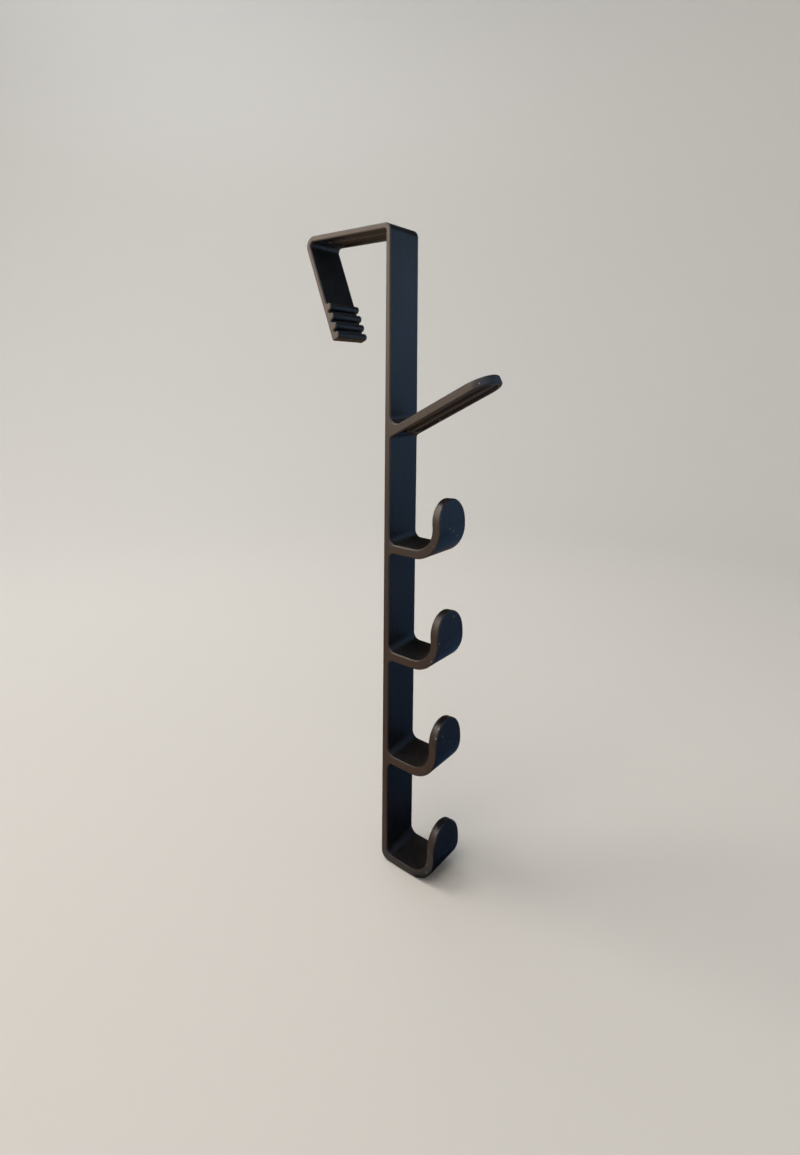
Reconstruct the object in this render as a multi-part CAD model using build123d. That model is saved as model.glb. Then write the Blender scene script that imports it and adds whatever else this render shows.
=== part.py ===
# Over-door hanger, moulded in one piece: a band that hangs down the face of a door, a strap and a
# slanted spring leg that clip over its top edge, a slanted peg and a row of J-shaped hooks.
# Millimetres. X runs across the width, +Y goes into the door, +Z is up. The origin is the inside
# corner where the door's face (Y = 0) meets its top edge (Z = 0), in the middle of the width.
from build123d import *
import os
from math import cos, radians, sin, sqrt, tan

# Whole part
width = 23.5
overall_height = 350.0
edge_chamfer = 0.6
sharp_angle = 60.0

# Band, and the thinner strap over the door
band_thickness = 4.0
strap_thickness = 3.1
door_gap = 57.3
strap_inner_radius = 1.2

# Spring leg, with round ribs on the side that grips the door
leg_thickness = 3.2
leg_slant = 21.7
leg_length = 58.8
leg_inner_radius = 2.5
leg_end_radius = 1.3
rib_count = 4
rib_pitch = 5.65
rib_radius = 2.1
rib_height = 2.8
rib_valley_share = 0.85

# Peg, slanted upwards
peg_drop = 104.1
peg_slant = 26.9
peg_length = 63.8
peg_thickness = 4.6
peg_upper_radius = 4.0
peg_lower_radius = 2.0

# Hooks, the lowest of which is the band's own end; each one's tab leans in towards the band
hook_count = 4
hook_pitch = 59.7
hook_reach = 28.9
hook_bend_radius = 11.9
hook_thickness = 5.0
hook_rise = 26.8
hook_lean = 4.0
hook_upper_radius = 4.0
hook_lower_radius = 3.0
band_end_radius = 5.0

# Recesses under the strap and under the peg, in pairs with a flat rim all round and a rib between them
recess_depth = 1.3
recess_rim = 2.4
recess_rib = 3.2
recess_corner_radius = 1.5
recess_edge_chamfer = 0.3

# Stock past a tip, which the rounding of the tip takes away
tip_stock = 1.0

half_width = width / 2
lowest_floor = strap_thickness + band_thickness - overall_height
leg_angle = -90 - leg_slant
peg_angle = 180 - peg_slant
peg_root = (-band_thickness, -peg_drop)
half_peg = peg_thickness / 2
half_peg_root = half_peg / cos(radians(peg_slant))
tab = -band_thickness - hook_reach
tab_angle = 90 - hook_lean
tab_length = hook_rise / cos(radians(hook_lean))
floors = [lowest_floor + index * hook_pitch for index in range(hook_count)]


def along(start, angle, distance, offset=0.0):
    """The point at a distance from start along a slant, and at an offset to the left of it."""
    turn = radians(angle)
    across = start[0] + distance * cos(turn) - offset * sin(turn)
    up = start[1] + distance * sin(turn) + offset * cos(turn)
    return across, up


def outline(*points):
    """A flat face with straight sides between points that are given as (Y, Z)."""
    return make_face(Polyline(*points, close=True))


def round_corner(face, point, radius):
    """The face with the corner nearest to the point rounded."""
    corner = face.vertices().sort_by_distance((*point, 0))[0]
    return fillet(corner, radius)


def rounding_run(radius, corner_angle):
    """How much of each side the rounding of a corner takes up."""
    return radius / tan(radians(corner_angle / 2))


def band_and_strap():
    """The strap and the band, which thickens from the strap down to the peg."""
    bottom = lowest_floor - band_thickness
    return outline((0, bottom), (0, 0), (door_gap, 0), (door_gap, strap_thickness),
                   (-strap_thickness, strap_thickness), peg_root, (-band_thickness, bottom))


def spring_leg():
    """The leg, slanted back towards the band, with its ribs. The last rib is flush with the leg's end."""
    corner = (door_gap, 0)
    above = strap_thickness / cos(radians(leg_slant)) + leg_thickness * tan(radians(leg_slant))
    proud = rib_height - rib_radius
    last_rib = leg_length - rib_radius
    face = outline(corner, along(corner, leg_angle, last_rib), along(corner, leg_angle, last_rib, -proud),
                   along(corner, leg_angle, leg_length, -proud),
                   along(corner, leg_angle, leg_length, leg_thickness),
                   along(corner, leg_angle, -above, leg_thickness), (door_gap, strap_thickness))
    crests = [last_rib - index * rib_pitch for index in range(rib_count)]
    for crest in crests:
        face += Pos(*along(corner, leg_angle, crest, -proud)) * Circle(rib_radius)
    foot = sqrt(rib_radius ** 2 - proud ** 2)
    full_round = (rib_pitch ** 2 / 4 - foot ** 2) / (2 * rib_height)
    valley_radius = rib_valley_share * full_round
    for crest in crests:
        face = round_corner(face, along(corner, leg_angle, crest - foot), valley_radius)
    for crest in crests[1:]:
        face = round_corner(face, along(corner, leg_angle, crest + foot), valley_radius)
    return round_corner(face, along(corner, leg_angle, leg_length, leg_thickness), leg_end_radius)


def peg():
    """The peg with stock at its tip, rooted in the middle of the band."""
    rooted = band_thickness / 2
    root_height = -peg_drop - rooted * tan(radians(peg_slant))
    end = peg_length + tip_stock
    return outline((-rooted, root_height + half_peg_root), along(peg_root, peg_angle, end, -half_peg),
                   along(peg_root, peg_angle, end, half_peg), (-rooted, root_height - half_peg_root))


def hook(floor, floor_thickness):
    """A J-shaped hook with stock at its tip: floor, round bend and leaning tab."""
    corner = (tab, floor)
    end = tab_length + tip_stock
    below = floor_thickness / cos(radians(hook_lean)) + hook_thickness * tan(radians(hook_lean))
    front_corner = along(corner, tab_angle, -below, hook_thickness)
    face = outline((0, floor), corner, along(corner, tab_angle, end),
                   along(corner, tab_angle, end, hook_thickness), front_corner, (0, floor - floor_thickness))
    face = round_corner(face, corner, hook_bend_radius)
    return round_corner(face, front_corner, hook_bend_radius + floor_thickness)


def profile():
    """The section of the whole part, with its corners rounded."""
    face = band_and_strap() + spring_leg() + peg() + hook(lowest_floor, band_thickness)
    for floor in floors[1:]:
        face += hook(floor, hook_thickness)
    face = round_corner(face, (0, 0), strap_inner_radius)
    face = round_corner(face, (-strap_thickness, strap_thickness), strap_inner_radius + strap_thickness)
    face = round_corner(face, (door_gap, 0), leg_inner_radius)
    leg_back = door_gap + leg_thickness / cos(radians(leg_slant)) + strap_thickness * tan(radians(leg_slant))
    face = round_corner(face, (leg_back, strap_thickness), leg_inner_radius + leg_thickness)
    face = round_corner(face, (-band_thickness, -peg_drop + half_peg_root), peg_upper_radius)
    face = round_corner(face, (-band_thickness, -peg_drop - half_peg_root), peg_lower_radius)
    for floor in floors:
        face = round_corner(face, (-band_thickness, floor), hook_upper_radius)
    for floor in floors[1:]:
        face = round_corner(face, (-band_thickness, floor - hook_thickness), hook_lower_radius)
    return round_corner(face, (0, lowest_floor - band_thickness), band_end_radius)


def tip_waste(plane):
    """What a tongue loses to get a full round end, with the round's centre at the plane's origin."""
    waste = Rectangle(2 * width, half_width + 2 * tip_stock, align=(Align.CENTER, Align.MIN))
    return extrude(plane * (waste - Circle(half_width)), amount=hook_thickness, both=True)


def is_sharp(edge, faces):
    """Whether the two faces along the edge meet at an angle."""
    middle = edge.position_at(0.5)
    normals = [face.normal_at(middle) for face in faces if edge in face.edges()]
    return normals[0].get_angle(normals[1]) > sharp_angle


def sink(body, plane, pockets):
    """The body with pockets sunk into it at the plane, and the edges of their mouths broken."""
    tool = extrude(plane * pockets, amount=recess_depth, both=True)
    sunk = body - tool
    return chamfer(new_edges(body, tool, combined=sunk), recess_edge_chamfer)


def split_by_rib(pocket):
    """A pocket's outline in two halves, with the corners at their ends rounded."""
    halves = pocket - Rectangle(recess_rib, 2 * overall_height)
    rows = halves.vertices().group_by(Axis.Y)
    return fillet(rows[0] + rows[-1], recess_corner_radius)


def strap_recess():
    """The outlines of the recesses under the strap, between the bends at its two ends."""
    start = strap_inner_radius + recess_rim
    end = door_gap - rounding_run(leg_inner_radius, 90 - leg_slant) - recess_rim
    return Pos(0, (start + end) / 2) * split_by_rib(Rectangle(width - 2 * recess_rim, end - start))


def peg_recess():
    """The outlines of the recesses under the peg, about the centre of the round tip."""
    half_pocket = half_width - recess_rim
    length = peg_length - half_width - rounding_run(peg_lower_radius, 90 + peg_slant) - recess_rim
    pocket = Rectangle(2 * half_pocket, length, align=(Align.CENTER, Align.MAX)) + Circle(half_pocket)
    return split_by_rib(pocket)


def door_hanger():
    """The whole moulding."""
    body = extrude(Plane.YZ * profile(), amount=half_width, both=True)
    tab_front = along((0, 0), tab_angle, 0, 1)
    for floor in floors:
        tab_tip_centre = along((tab, floor), tab_angle, tab_length - half_width, hook_thickness / 2)
        body -= tip_waste(Plane((0, *tab_tip_centre), x_dir=(1, 0, 0), z_dir=(0, *tab_front)))
    peg_tip_centre = along(peg_root, peg_angle, peg_length - half_width)
    peg_underside = along((0, 0), peg_angle, 0, 1)
    body -= tip_waste(Plane((0, *peg_tip_centre), x_dir=(1, 0, 0), z_dir=(0, *peg_underside)))
    faces = body.faces()
    body = chamfer([edge for edge in body.edges() if is_sharp(edge, faces)], edge_chamfer)
    body = sink(body, Plane.XY, strap_recess())
    recess_middle = along(peg_root, peg_angle, peg_length - half_width, half_peg)
    return sink(body, Plane((0, *recess_middle), x_dir=(1, 0, 0), z_dir=(0, *peg_underside)), peg_recess())


os.makedirs("parts", exist_ok=True)
export_step(door_hanger(), "parts/door_hanger.step")
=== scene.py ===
from math import cos, radians, sin

import bpy
from bpy.props import FloatProperty, FloatVectorProperty, PointerProperty
from mathutils import Matrix, Vector


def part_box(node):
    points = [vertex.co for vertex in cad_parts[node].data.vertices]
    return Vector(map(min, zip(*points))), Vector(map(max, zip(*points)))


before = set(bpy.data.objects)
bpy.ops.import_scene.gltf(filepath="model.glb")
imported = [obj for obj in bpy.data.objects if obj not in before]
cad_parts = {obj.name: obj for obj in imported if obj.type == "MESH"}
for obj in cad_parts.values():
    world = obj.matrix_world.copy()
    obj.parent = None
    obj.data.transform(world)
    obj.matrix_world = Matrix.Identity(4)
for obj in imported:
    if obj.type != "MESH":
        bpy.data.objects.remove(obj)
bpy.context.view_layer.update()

bl_info = {
    "name": "Over-door hanger",
    "version": (1, 0, 0),
    "blender": (4, 5, 0),
    "location": "3D View > Sidebar > Hanger",
    "description": "Gives a moulded over-door hanger its black satin finish, in a pale studio",
    "category": "Object",
}

MM = 0.001
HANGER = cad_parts["door_hanger"]
LOW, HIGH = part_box("door_hanger")
MIDDLE = (LOW + HIGH) / 2

# Modifiers that round the hanger's edges
WELD_DISTANCE = 0.001 * MM
FLAT_ANGLE = radians(0.5)
EDGE_ANGLE = radians(28)
EDGE_SEGMENTS = 3

# Patterns in the polypropylene, in millimetres. Nicks are thickest in front of TABS_AT, on the hooks' tabs
# and the peg's outer half, and thin out from there to BAND_AT
CLOUD_SIZE = 22.0
STREAK_WIDTH = 2.0
STREAK_LENGTH = 45.0
STREAK_HEIGHT = 0.15
GRAIN_HEIGHT = 0.05
NICK_SPACING = 5.0
NICK_CORE_RADIUS = 0.35
NICK_RIM_RADIUS = 0.6
NICK_RAGGED_SIZE = 0.8
NICK_RAGGED_REACH = 0.9
TABS_AT = -30.0
BAND_AT = -12.0

# Shares of the places for a nick that stay clean on the tabs and at the band
CLEAN_ON_TABS = 0.45
CLEAN_AT_BAND = 0.9

# Values of the mix of clouds and streaks between which the surface blooms and roughens, and how far the
# roughness goes below and above its set value
BLOOM_START = 0.42
BLOOM_END = 0.60
ROUGH_START = 0.35
ROUGH_END = 0.65
SMOOTHER_BY = 0.06
ROUGHER_BY = 0.08

# Sockets of a Mix node set to colours, which shares their names with sockets for other kinds of value
COLOUR_A = 6
COLOUR_B = 7
COLOUR_RESULT = 2

# The photograph's frame in pixels, and the camera that fits it in degrees and metres
PHOTO_WIDTH = 800
PHOTO_HEIGHT = 1155
FOCAL_PIXELS = 617.5
CENTRE_PIXEL = (415.6, 449.8)
VIEW_AZIMUTH = -52.23
VIEW_ELEVATION = 6.36
VIEW_ROLL = 0.76
VIEW_TARGET = Vector((0.0056, -0.0076, -0.1142))
VIEW_DISTANCE = 0.3354
NEAREST_VIEW = 0.01
SENSOR_IN_MM = 36.0

# The floor, just below the hanger, and its wall, whose height and sweep are shares of the floor's radius
FLOOR_HEIGHT = LOW.z - 0.2 * MM
FLOOR_SIDES = 128
WALL_SHARE = 1.5
SWEEP_SHARE = 0.5
SWEEP_SEGMENTS = 16

# Soft lamps: the place and side of each in metres, its colour and the point that it faces
LAMPS = {
    "key_lamp": {
        "place": (-0.90, -0.10, 1.40), "size": 1.2, "colour": "#ffefdd", "target": MIDDLE},
    "top_lamp": {
        "place": (-0.35, 0.70, 0.95), "size": 0.55, "colour": "#fff6ec", "target": MIDDLE},
    "backdrop_lamp": {
        "place": (0.2, 0.75, 1.0), "size": 0.8, "colour": "#ffffff", "target": (1.3, 0.9, 0.1)},
}

# Heights of most panels' upper edges, and of the two panels that lie flat between the floor and the hanger
PANEL_TOP = 0.9
FOOT_PANEL_HEIGHT = LOW.z - 0.1 * MM
BROWN_PANEL_HEIGHT = LOW.z - 0.15 * MM

# Glowing panels that only the plastic's reflections see, which paint sheen, highlights and shade into them:
# the middle of each one's lower and upper edge and its width in metres, and its colours by the share of the
# way up
PAINTED_REFLECTION_PANELS = {
    # Behind on the left: a painted warm sheen on the hanger's side
    "painted_warm_sheen": {
        "foot": (-0.016, 0.006, LOW.z), "top": (-0.63, 0.49, PANEL_TOP), "width": 0.5,
        "colours": ((0.0, "#72594a"), (0.1, "#806a59"), (0.16, "#927f70"), (0.25, "#e7d0bb"),
                    (0.33, "#ffe6d0"), (0.55, "#c8b4a2"), (1.0, "#6c6058"))},
    # In front on the right: a painted blue sheen, graded to dark, on the front of the band and of the tabs
    "painted_blue_sheen": {
        "foot": (-0.025, -0.085, LOW.z), "top": (0.548, -0.581, PANEL_TOP), "width": 0.32,
        "colours": ((0.0, "#2d4262"), (0.12, "#5e7fa8"), (0.3, "#a8d0ff"), (0.48, "#1f2d3a"),
                    (1.0, "#10161a"))},
    # Behind on the right: a painted brown reflection below for the underside of the strap, and painted shade
    # above for the hooks' floors
    "painted_brown_reflection_and_shade": {
        "foot": (0.557, 0.182, LOW.z), "top": (0.71, 0.30, PANEL_TOP), "width": 1.3,
        "colours": ((0.0, "#957955"), (0.11, "#8a7050"), (0.16, "#191715"), (1.0, "#0e0e0e"))},
    # High in front on the right: painted shade on the inner face of the leg
    "painted_leg_shade": {
        "foot": (0.26, -0.15, 0.06), "top": (0.69, -0.40, PANEL_TOP), "width": 0.9,
        "colours": ((0.0, "#191715"), (1.0, "#0e0e0e"))},
    # Flat in front: painted dark navy shade on the lowest part of the band
    "painted_band_foot_shade": {
        "foot": (0.004, -0.003, FOOT_PANEL_HEIGHT), "top": (0.06, -0.052, FOOT_PANEL_HEIGHT), "width": 0.24,
        "colours": ((0.0, "#101726"), (1.0, "#192843"))},
    # Flat behind on the right: a painted brown reflection on the underside of the peg
    "painted_peg_reflection": {
        "foot": (0.03, 0.01, BROWN_PANEL_HEIGHT), "top": (0.75, 0.45, BROWN_PANEL_HEIGHT), "width": 0.7,
        "colours": ((0.0, "#7d6548"), (1.0, "#957955"))},
    # Behind the camera: painted pale highlights on the peg's tip and the edges
    "painted_edge_highlights": {
        "foot": (-0.30, -0.55, -0.20), "top": (-0.45, -0.85, 0.85), "width": 1.5,
        "colours": ((0.0, "#cbb8a2"), (0.28, "#d2c0ac"), (0.42, "#a8d0ff"), (1.0, "#b4dcff"))},
}


def linear(code):
    """An sRGB hex colour as linear red, green and blue."""
    channels = [int(code[i:i + 2], 16) / 255 for i in (1, 3, 5)]
    return [c / 12.92 if c <= 0.04045 else ((c + 0.055) / 1.055) ** 2.4 for c in channels]


class HangerFinish(bpy.types.PropertyGroup):
    """The moulded surface of the hanger."""
    black: FloatVectorProperty(
        name="Black", description="Colour of the polypropylene", subtype="COLOR",
        min=0, max=1, default=linear("#0e0e10"))
    bloom: FloatVectorProperty(
        name="Bloom", description="Greyer black where the surface has rubbed or bloomed", subtype="COLOR",
        min=0, max=1, default=linear("#171615"))
    scuff: FloatVectorProperty(
        name="Scuff", description="Colour of the small nicks and rubbed specks", subtype="COLOR",
        min=0, max=1, default=linear("#77726b"))
    edge_rounding: FloatProperty(
        name="Edge rounding", description="How far each edge of the mould's chamfers is rounded off",
        unit="LENGTH", min=0, default=0.08 * MM)
    grain: FloatProperty(
        name="Grain", description="Width of the fine grain of the mould's surface", unit="LENGTH",
        min=0.1 * MM, default=0.6 * MM)
    roughness: FloatProperty(
        name="Roughness", description="Roughness of the satin surface", subtype="FACTOR",
        min=0, max=1, default=0.40)


class StageSetup(bpy.types.PropertyGroup):
    """The studio around the hanger."""
    floor_colour: FloatVectorProperty(
        name="Floor", description="Colour of the pale floor", subtype="COLOR",
        min=0, max=1, default=linear("#cfd0cf"))
    floor_radius: FloatProperty(
        name="Floor radius", description="Radius of the round floor", unit="LENGTH", min=0.5, default=1.6)
    key_power: FloatProperty(
        name="Key lamp", description="Power of the warm lamp on the left", unit="POWER", min=0, default=15.0)
    top_power: FloatProperty(
        name="Top lamp", description="Power of the lamp overhead", unit="POWER", min=0, default=8.0)
    backdrop_power: FloatProperty(
        name="Backdrop lamp", description="Power of the lamp on the far wall", unit="POWER",
        min=0, default=5.0)
    warm_strength: FloatProperty(
        name="Warm panel", description="Brightness of the panel that the hanger's side mirrors",
        min=0, default=4.6)
    pale_strength: FloatProperty(
        name="Pale panel", description="Brightness of the panel that the peg's tip and the edges mirror",
        min=0, default=1.6)
    air_colour: FloatVectorProperty(
        name="Air", description="Colour of the light from all round", subtype="COLOR",
        min=0, max=1, default=linear("#d4dcea"))
    air_strength: FloatProperty(
        name="Air strength", description="Brightness of the light from all round", min=0, default=0.4)


def add_node(tree, kind, inputs=None, **settings):
    """Adds a node with its settings, and sets or links its inputs."""
    node = tree.nodes.new(kind)
    for name, value in settings.items():
        setattr(node, name, value)
    for key, value in (inputs or {}).items():
        if isinstance(value, bpy.types.NodeSocket):
            tree.links.new(value, node.inputs[key])
        else:
            node.inputs[key].default_value = value
    return node


def empty_material(name):
    """A material with an empty node tree, and that tree."""
    material = bpy.data.materials.new(name)
    material.use_nodes = True
    material.node_tree.nodes.clear()
    return material, material.node_tree


def black_polypropylene(finish):
    """Polypropylene, injection moulded in a spark-eroded mould.

    It gives the eye a near black with a soft satin sheen: faint clouds where the melt cooled unevenly,
    streaks along the way it flowed, a fine grain, and a few small nicks from use.
    """
    material, tree = empty_material("moulded_black_polypropylene")
    place = add_node(tree, "ShaderNodeTexCoord").outputs["Object"]
    in_mm = add_node(tree, "ShaderNodeVectorMath", {0: place, 1: (1 / MM,) * 3},
                     operation="MULTIPLY").outputs[0]

    # Clouds, and flow streaks along the band
    clouds = add_node(tree, "ShaderNodeTexNoise",
                      {"Vector": in_mm, "Scale": 1 / CLOUD_SIZE, "Detail": 4.0}).outputs[0]
    per_streak = (1 / STREAK_WIDTH, 1 / STREAK_WIDTH, 1 / STREAK_LENGTH)
    drawn_out = add_node(tree, "ShaderNodeVectorMath", {0: in_mm, 1: per_streak}, operation="MULTIPLY")
    streaks = add_node(tree, "ShaderNodeTexNoise",
                       {"Vector": drawn_out.outputs[0], "Scale": 1.0, "Detail": 3.0}).outputs[0]
    uneven = add_node(tree, "ShaderNodeMix", {"Factor": 0.5, "A": clouds, "B": streaks}).outputs[0]
    bloomed = add_node(tree, "ShaderNodeMapRange",
                       {"Value": uneven, "From Min": BLOOM_START, "From Max": BLOOM_END})
    black = add_node(tree, "ShaderNodeMix", {
        "Factor": bloomed.outputs[0], COLOUR_A: (*finish.black, 1), COLOUR_B: (*finish.bloom, 1)},
        data_type="RGBA").outputs[COLOUR_RESULT]

    # Nicks about 1 mm across: two or three on a tab, where things rub, some on the peg and few elsewhere
    ragged = add_node(tree, "ShaderNodeTexNoise",
                      {"Vector": in_mm, "Scale": 1 / NICK_RAGGED_SIZE, "Detail": 2.0}).outputs["Color"]
    shaken = add_node(tree, "ShaderNodeVectorMath", {0: ragged, 1: (NICK_RAGGED_REACH,) * 3, 2: in_mm},
                      operation="MULTIPLY_ADD")
    cells = add_node(tree, "ShaderNodeTexVoronoi", {"Vector": shaken.outputs[0], "Scale": 1 / NICK_SPACING})
    near = add_node(tree, "ShaderNodeMapRange", {
        "Value": cells.outputs["Distance"], "From Min": NICK_CORE_RADIUS / NICK_SPACING,
        "From Max": NICK_RIM_RADIUS / NICK_SPACING, "To Min": 1.0, "To Max": 0.0})
    depth = add_node(tree, "ShaderNodeSeparateXYZ", {"Vector": in_mm}).outputs["Y"]
    clean = add_node(tree, "ShaderNodeMapRange", {
        "Value": depth, "From Min": TABS_AT, "From Max": BAND_AT,
        "To Min": CLEAN_ON_TABS, "To Max": CLEAN_AT_BAND})
    chosen = add_node(tree, "ShaderNodeMath", {0: cells.outputs["Color"], 1: clean.outputs[0]},
                      operation="GREATER_THAN")
    nicks = add_node(tree, "ShaderNodeMath", {0: near.outputs[0], 1: chosen.outputs[0]},
                     operation="MULTIPLY")
    colour = add_node(tree, "ShaderNodeMix", {
        "Factor": nicks.outputs[0], COLOUR_A: black, COLOUR_B: (*finish.scuff, 1)},
        data_type="RGBA").outputs[COLOUR_RESULT]

    # The mould's grain is about 0.1 mm wide, which is too fine to show, so it is drawn coarser
    grain = add_node(tree, "ShaderNodeTexNoise",
                     {"Vector": in_mm, "Scale": MM / finish.grain, "Detail": 3.0})
    waves = add_node(tree, "ShaderNodeBump",
                     {"Height": streaks, "Strength": 1.0, "Distance": STREAK_HEIGHT * MM})
    bump = add_node(tree, "ShaderNodeBump", {
        "Height": grain.outputs[0], "Strength": 0.25, "Distance": GRAIN_HEIGHT * MM,
        "Normal": waves.outputs[0]})
    rough = add_node(tree, "ShaderNodeMapRange", {
        "Value": uneven, "From Min": ROUGH_START, "From Max": ROUGH_END,
        "To Min": finish.roughness - SMOOTHER_BY, "To Max": finish.roughness + ROUGHER_BY})
    shader = add_node(tree, "ShaderNodeBsdfPrincipled", {
        "Base Color": colour, "Roughness": rough.outputs[0], "IOR": 1.49, "Normal": bump.outputs[0]})
    add_node(tree, "ShaderNodeOutputMaterial", {"Surface": shader.outputs[0]})
    return material


def studio_paper(setup):
    """Matt seamless paper, which gives the eye an even pale ground."""
    material, tree = empty_material("pale_studio_paper")
    shader = add_node(tree, "ShaderNodeBsdfPrincipled", {
        "Base Color": (*setup.floor_colour, 1), "Roughness": 0.9, "Specular IOR Level": 0.1})
    add_node(tree, "ShaderNodeOutputMaterial", {"Surface": shader.outputs[0]})
    return material


def painted_reflection_glow(name, colours, strength):
    """A glow graded in colour up a panel, which paints coloured sheen, highlights and shade into the
    plastic's reflections.
    """
    material, tree = empty_material(name)
    place = add_node(tree, "ShaderNodeTexCoord").outputs["Object"]
    height = add_node(tree, "ShaderNodeSeparateXYZ", {"Vector": place}).outputs["Y"]
    # A panel is 1 high in its own coordinates, with its middle at 0
    share = add_node(tree, "ShaderNodeMapRange", {"Value": height, "From Min": -0.5, "From Max": 0.5})
    ramp = add_node(tree, "ShaderNodeValToRGB", {0: share.outputs[0]})
    stops = ramp.color_ramp.elements
    while len(stops) < len(colours):
        stops.new(1.0)
    for stop, (position, code) in zip(stops, colours):
        stop.position = position
        stop.color = (*linear(code), 1)
    shader = add_node(tree, "ShaderNodeEmission", {"Color": ramp.outputs[0], "Strength": strength})
    add_node(tree, "ShaderNodeOutputMaterial", {"Surface": shader.outputs[0]})
    return material


class HANGER_OT_dress(bpy.types.Operator):
    """Round the hanger's edges and give it its moulded finish"""
    bl_idname = "hanger.dress"
    bl_label = "Dress the hanger"

    def execute(self, context):
        finish = context.scene.hanger_finish
        HANGER.modifiers.new("join_faces", "WELD").merge_threshold = WELD_DISTANCE
        flat = HANGER.modifiers.new("whole_flats", "DECIMATE")
        flat.decimate_type = "DISSOLVE"
        flat.angle_limit = FLAT_ANGLE
        rounding = HANGER.modifiers.new("rounded_edges", "BEVEL")
        rounding.limit_method = "ANGLE"
        rounding.angle_limit = EDGE_ANGLE
        rounding.width = finish.edge_rounding
        rounding.segments = EDGE_SEGMENTS
        rounding.harden_normals = True
        HANGER.data.materials.clear()
        HANGER.data.materials.append(black_polypropylene(finish))
        return {"FINISHED"}


def add_floor(setup):
    """A round floor that sweeps up into a wall all round."""
    wall_height = WALL_SHARE * setup.floor_radius
    bpy.ops.mesh.primitive_cylinder_add(vertices=FLOOR_SIDES, radius=setup.floor_radius, depth=wall_height,
                                        location=(0, 0, FLOOR_HEIGHT + wall_height / 2))
    floor = bpy.context.object
    floor.name = "studio_floor"
    bpy.ops.object.transform_apply(location=True, rotation=False, scale=False)
    # The lid comes off
    bpy.ops.object.mode_set(mode="EDIT")
    bpy.ops.mesh.select_mode(type="FACE")
    bpy.ops.object.mode_set(mode="OBJECT")
    for face in floor.data.polygons:
        face.select = round(face.normal.z) == 1
    bpy.ops.object.mode_set(mode="EDIT")
    bpy.ops.mesh.delete(type="FACE")
    # The edge round the floor becomes the sweep
    bpy.ops.mesh.select_mode(type="EDGE")
    bpy.ops.object.mode_set(mode="OBJECT")
    for edge in floor.data.edges:
        edge.select = all(floor.data.vertices[v].co.z < LOW.z for v in edge.vertices)
    bpy.ops.object.mode_set(mode="EDIT")
    bpy.ops.mesh.bevel(offset=SWEEP_SHARE * setup.floor_radius, segments=SWEEP_SEGMENTS, affect="EDGES")
    # The faces turn inwards, towards the hanger
    bpy.ops.mesh.select_all(action="SELECT")
    bpy.ops.mesh.flip_normals()
    bpy.ops.object.mode_set(mode="OBJECT")
    bpy.ops.object.shade_smooth()
    floor.data.materials.append(studio_paper(setup))


def add_lamp(name, place, power, size, colour, target):
    """A square soft lamp that faces its target."""
    bpy.ops.object.light_add(type="AREA", location=place)
    lamp = bpy.context.object
    lamp.name = name
    lamp.rotation_euler = (Vector(target) - Vector(place)).to_track_quat("-Z", "Y").to_euler()
    lamp.data.energy = power
    lamp.data.size = size
    lamp.data.color = linear(colour)
    lamp.visible_camera = False


def add_panel(name, foot, top, width, colours, strength):
    """A flat panel from its foot to its top, which only glossy reflections meet, so that its glow is painted
    into the plastic as sheen, highlights and shade.
    """
    foot, top = Vector(foot), Vector(top)
    slope = top - foot
    bpy.ops.mesh.primitive_plane_add(size=1, location=(foot + top) / 2)
    panel = bpy.context.object
    panel.name = name
    across = slope.cross(Vector((0, 0, 1))).normalized()
    turned = Matrix((across, slope.normalized(), across.cross(slope).normalized())).transposed()
    panel.rotation_euler = turned.to_euler()
    panel.scale = (width, slope.length, 1)
    for rays in ("camera", "diffuse", "transmission", "volume_scatter", "shadow"):
        setattr(panel, "visible_" + rays, False)
    panel.data.materials.append(painted_reflection_glow(name + "_glow", colours, strength))


def add_camera():
    """The camera at the photograph's angle, with its frame's offset from the optical axis."""
    azimuth, elevation, roll = (radians(a) for a in (VIEW_AZIMUTH, VIEW_ELEVATION, VIEW_ROLL))
    back = Vector((sin(azimuth) * cos(elevation), -cos(azimuth) * cos(elevation), sin(elevation)))
    right = Vector((cos(azimuth), sin(azimuth), 0))
    facing = Matrix((right, back.cross(right), back)).transposed() @ Matrix.Rotation(roll, 3, "Z")
    bpy.ops.object.camera_add(location=VIEW_TARGET + back * VIEW_DISTANCE, rotation=facing.to_euler())
    camera = bpy.context.object
    camera.name = "photo_camera"
    camera.data.sensor_width = SENSOR_IN_MM
    camera.data.lens = FOCAL_PIXELS / PHOTO_HEIGHT * SENSOR_IN_MM
    camera.data.shift_x = (PHOTO_WIDTH / 2 - CENTRE_PIXEL[0]) / PHOTO_HEIGHT
    camera.data.shift_y = (CENTRE_PIXEL[1] - PHOTO_HEIGHT / 2) / PHOTO_HEIGHT
    camera.data.clip_start = NEAREST_VIEW
    bpy.context.scene.camera = camera


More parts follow.
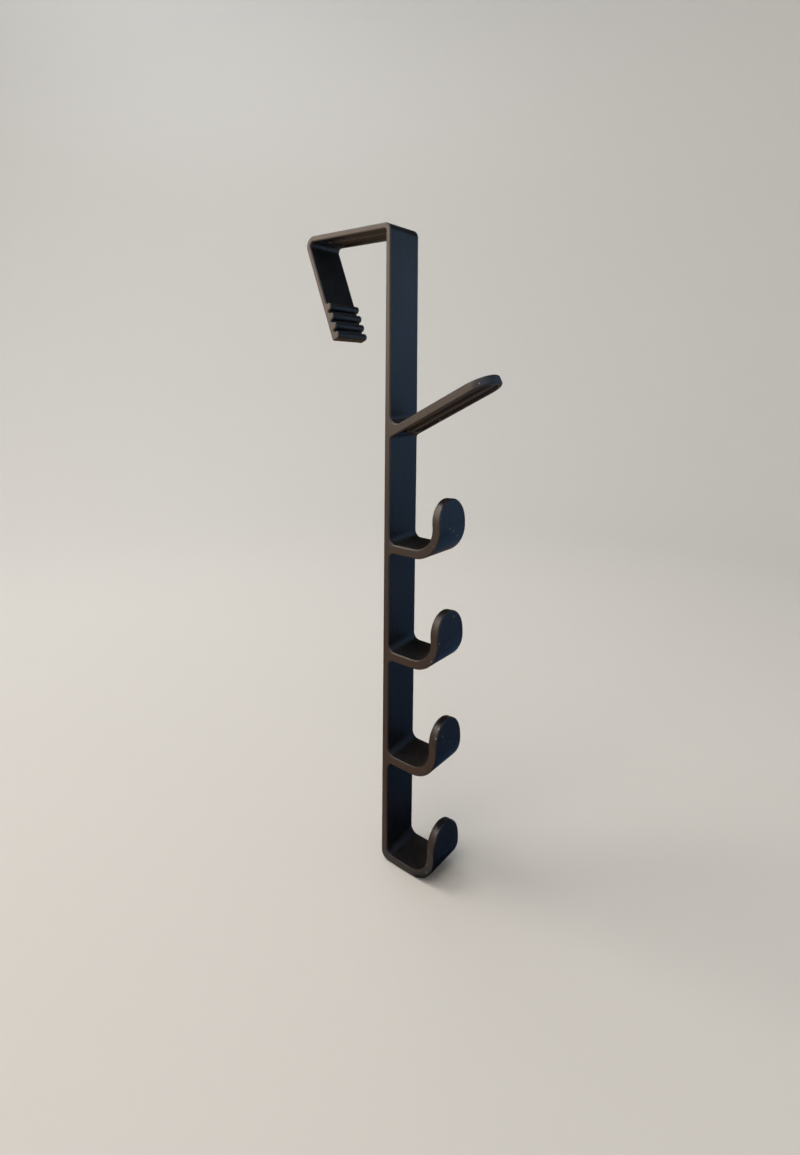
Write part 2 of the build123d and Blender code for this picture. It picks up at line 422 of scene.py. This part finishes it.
def add_air(setup):
    """The world, which lights everything evenly from all round."""
    air = bpy.data.worlds.new("studio_air")
    air.use_nodes = True
    background = air.node_tree.nodes["Background"]
    background.inputs["Color"].default_value = (*setup.air_colour, 1)
    background.inputs["Strength"].default_value = setup.air_strength
    bpy.context.scene.world = air


class HANGER_OT_stage(bpy.types.Operator):
    """Set the pale floor, the soft lamps, the glowing panels that paint sheen, highlights and shade into the
    plastic's reflections, the camera and the air
    """
    bl_idname = "hanger.stage"
    bl_label = "Set the stage"

    def execute(self, context):
        setup = context.scene.hanger_stage
        bpy.ops.object.select_all(action="DESELECT")
        add_floor(setup)
        powers = {"key_lamp": setup.key_power, "top_lamp": setup.top_power,
                  "backdrop_lamp": setup.backdrop_power}
        for name, lamp in LAMPS.items():
            add_lamp(name, power=powers[name], **lamp)
        # The panels glow only in reflections, where they paint the plastic's sheen, highlights and shade
        strengths = {"painted_warm_sheen": setup.warm_strength, "painted_edge_highlights": setup.pale_strength}
        for name, panel in PAINTED_REFLECTION_PANELS.items():
            add_panel(name, strength=strengths.get(name, 1.0), **panel)
        add_camera()
        add_air(setup)
        context.scene.view_settings.view_transform = "Standard"
        return {"FINISHED"}


class HANGER_PT_panel(bpy.types.Panel):
    """Lists the finish and the stage"""
    bl_idname = "HANGER_PT_panel"
    bl_label = "Over-door hanger"
    bl_space_type = "VIEW_3D"
    bl_region_type = "UI"
    bl_category = "Hanger"

    def draw(self, context):
        for group, action in ((context.scene.hanger_finish, HANGER_OT_dress.bl_idname),
                              (context.scene.hanger_stage, HANGER_OT_stage.bl_idname)):
            for name in group.bl_rna.properties.keys():
                if name not in ("rna_type", "name"):
                    self.layout.prop(group, name)
            self.layout.operator(action)


CLASSES = (HangerFinish, StageSetup, HANGER_OT_dress, HANGER_OT_stage, HANGER_PT_panel)


def register():
    for cls in CLASSES:
        bpy.utils.register_class(cls)
    bpy.types.Scene.hanger_finish = PointerProperty(type=HangerFinish)
    bpy.types.Scene.hanger_stage = PointerProperty(type=StageSetup)


def unregister():
    del bpy.types.Scene.hanger_stage
    del bpy.types.Scene.hanger_finish
    for cls in reversed(CLASSES):
        bpy.utils.unregister_class(cls)


def main():
    register()
    bpy.ops.hanger.dress()
    bpy.ops.hanger.stage()


if __name__ == "__main__":
    main()
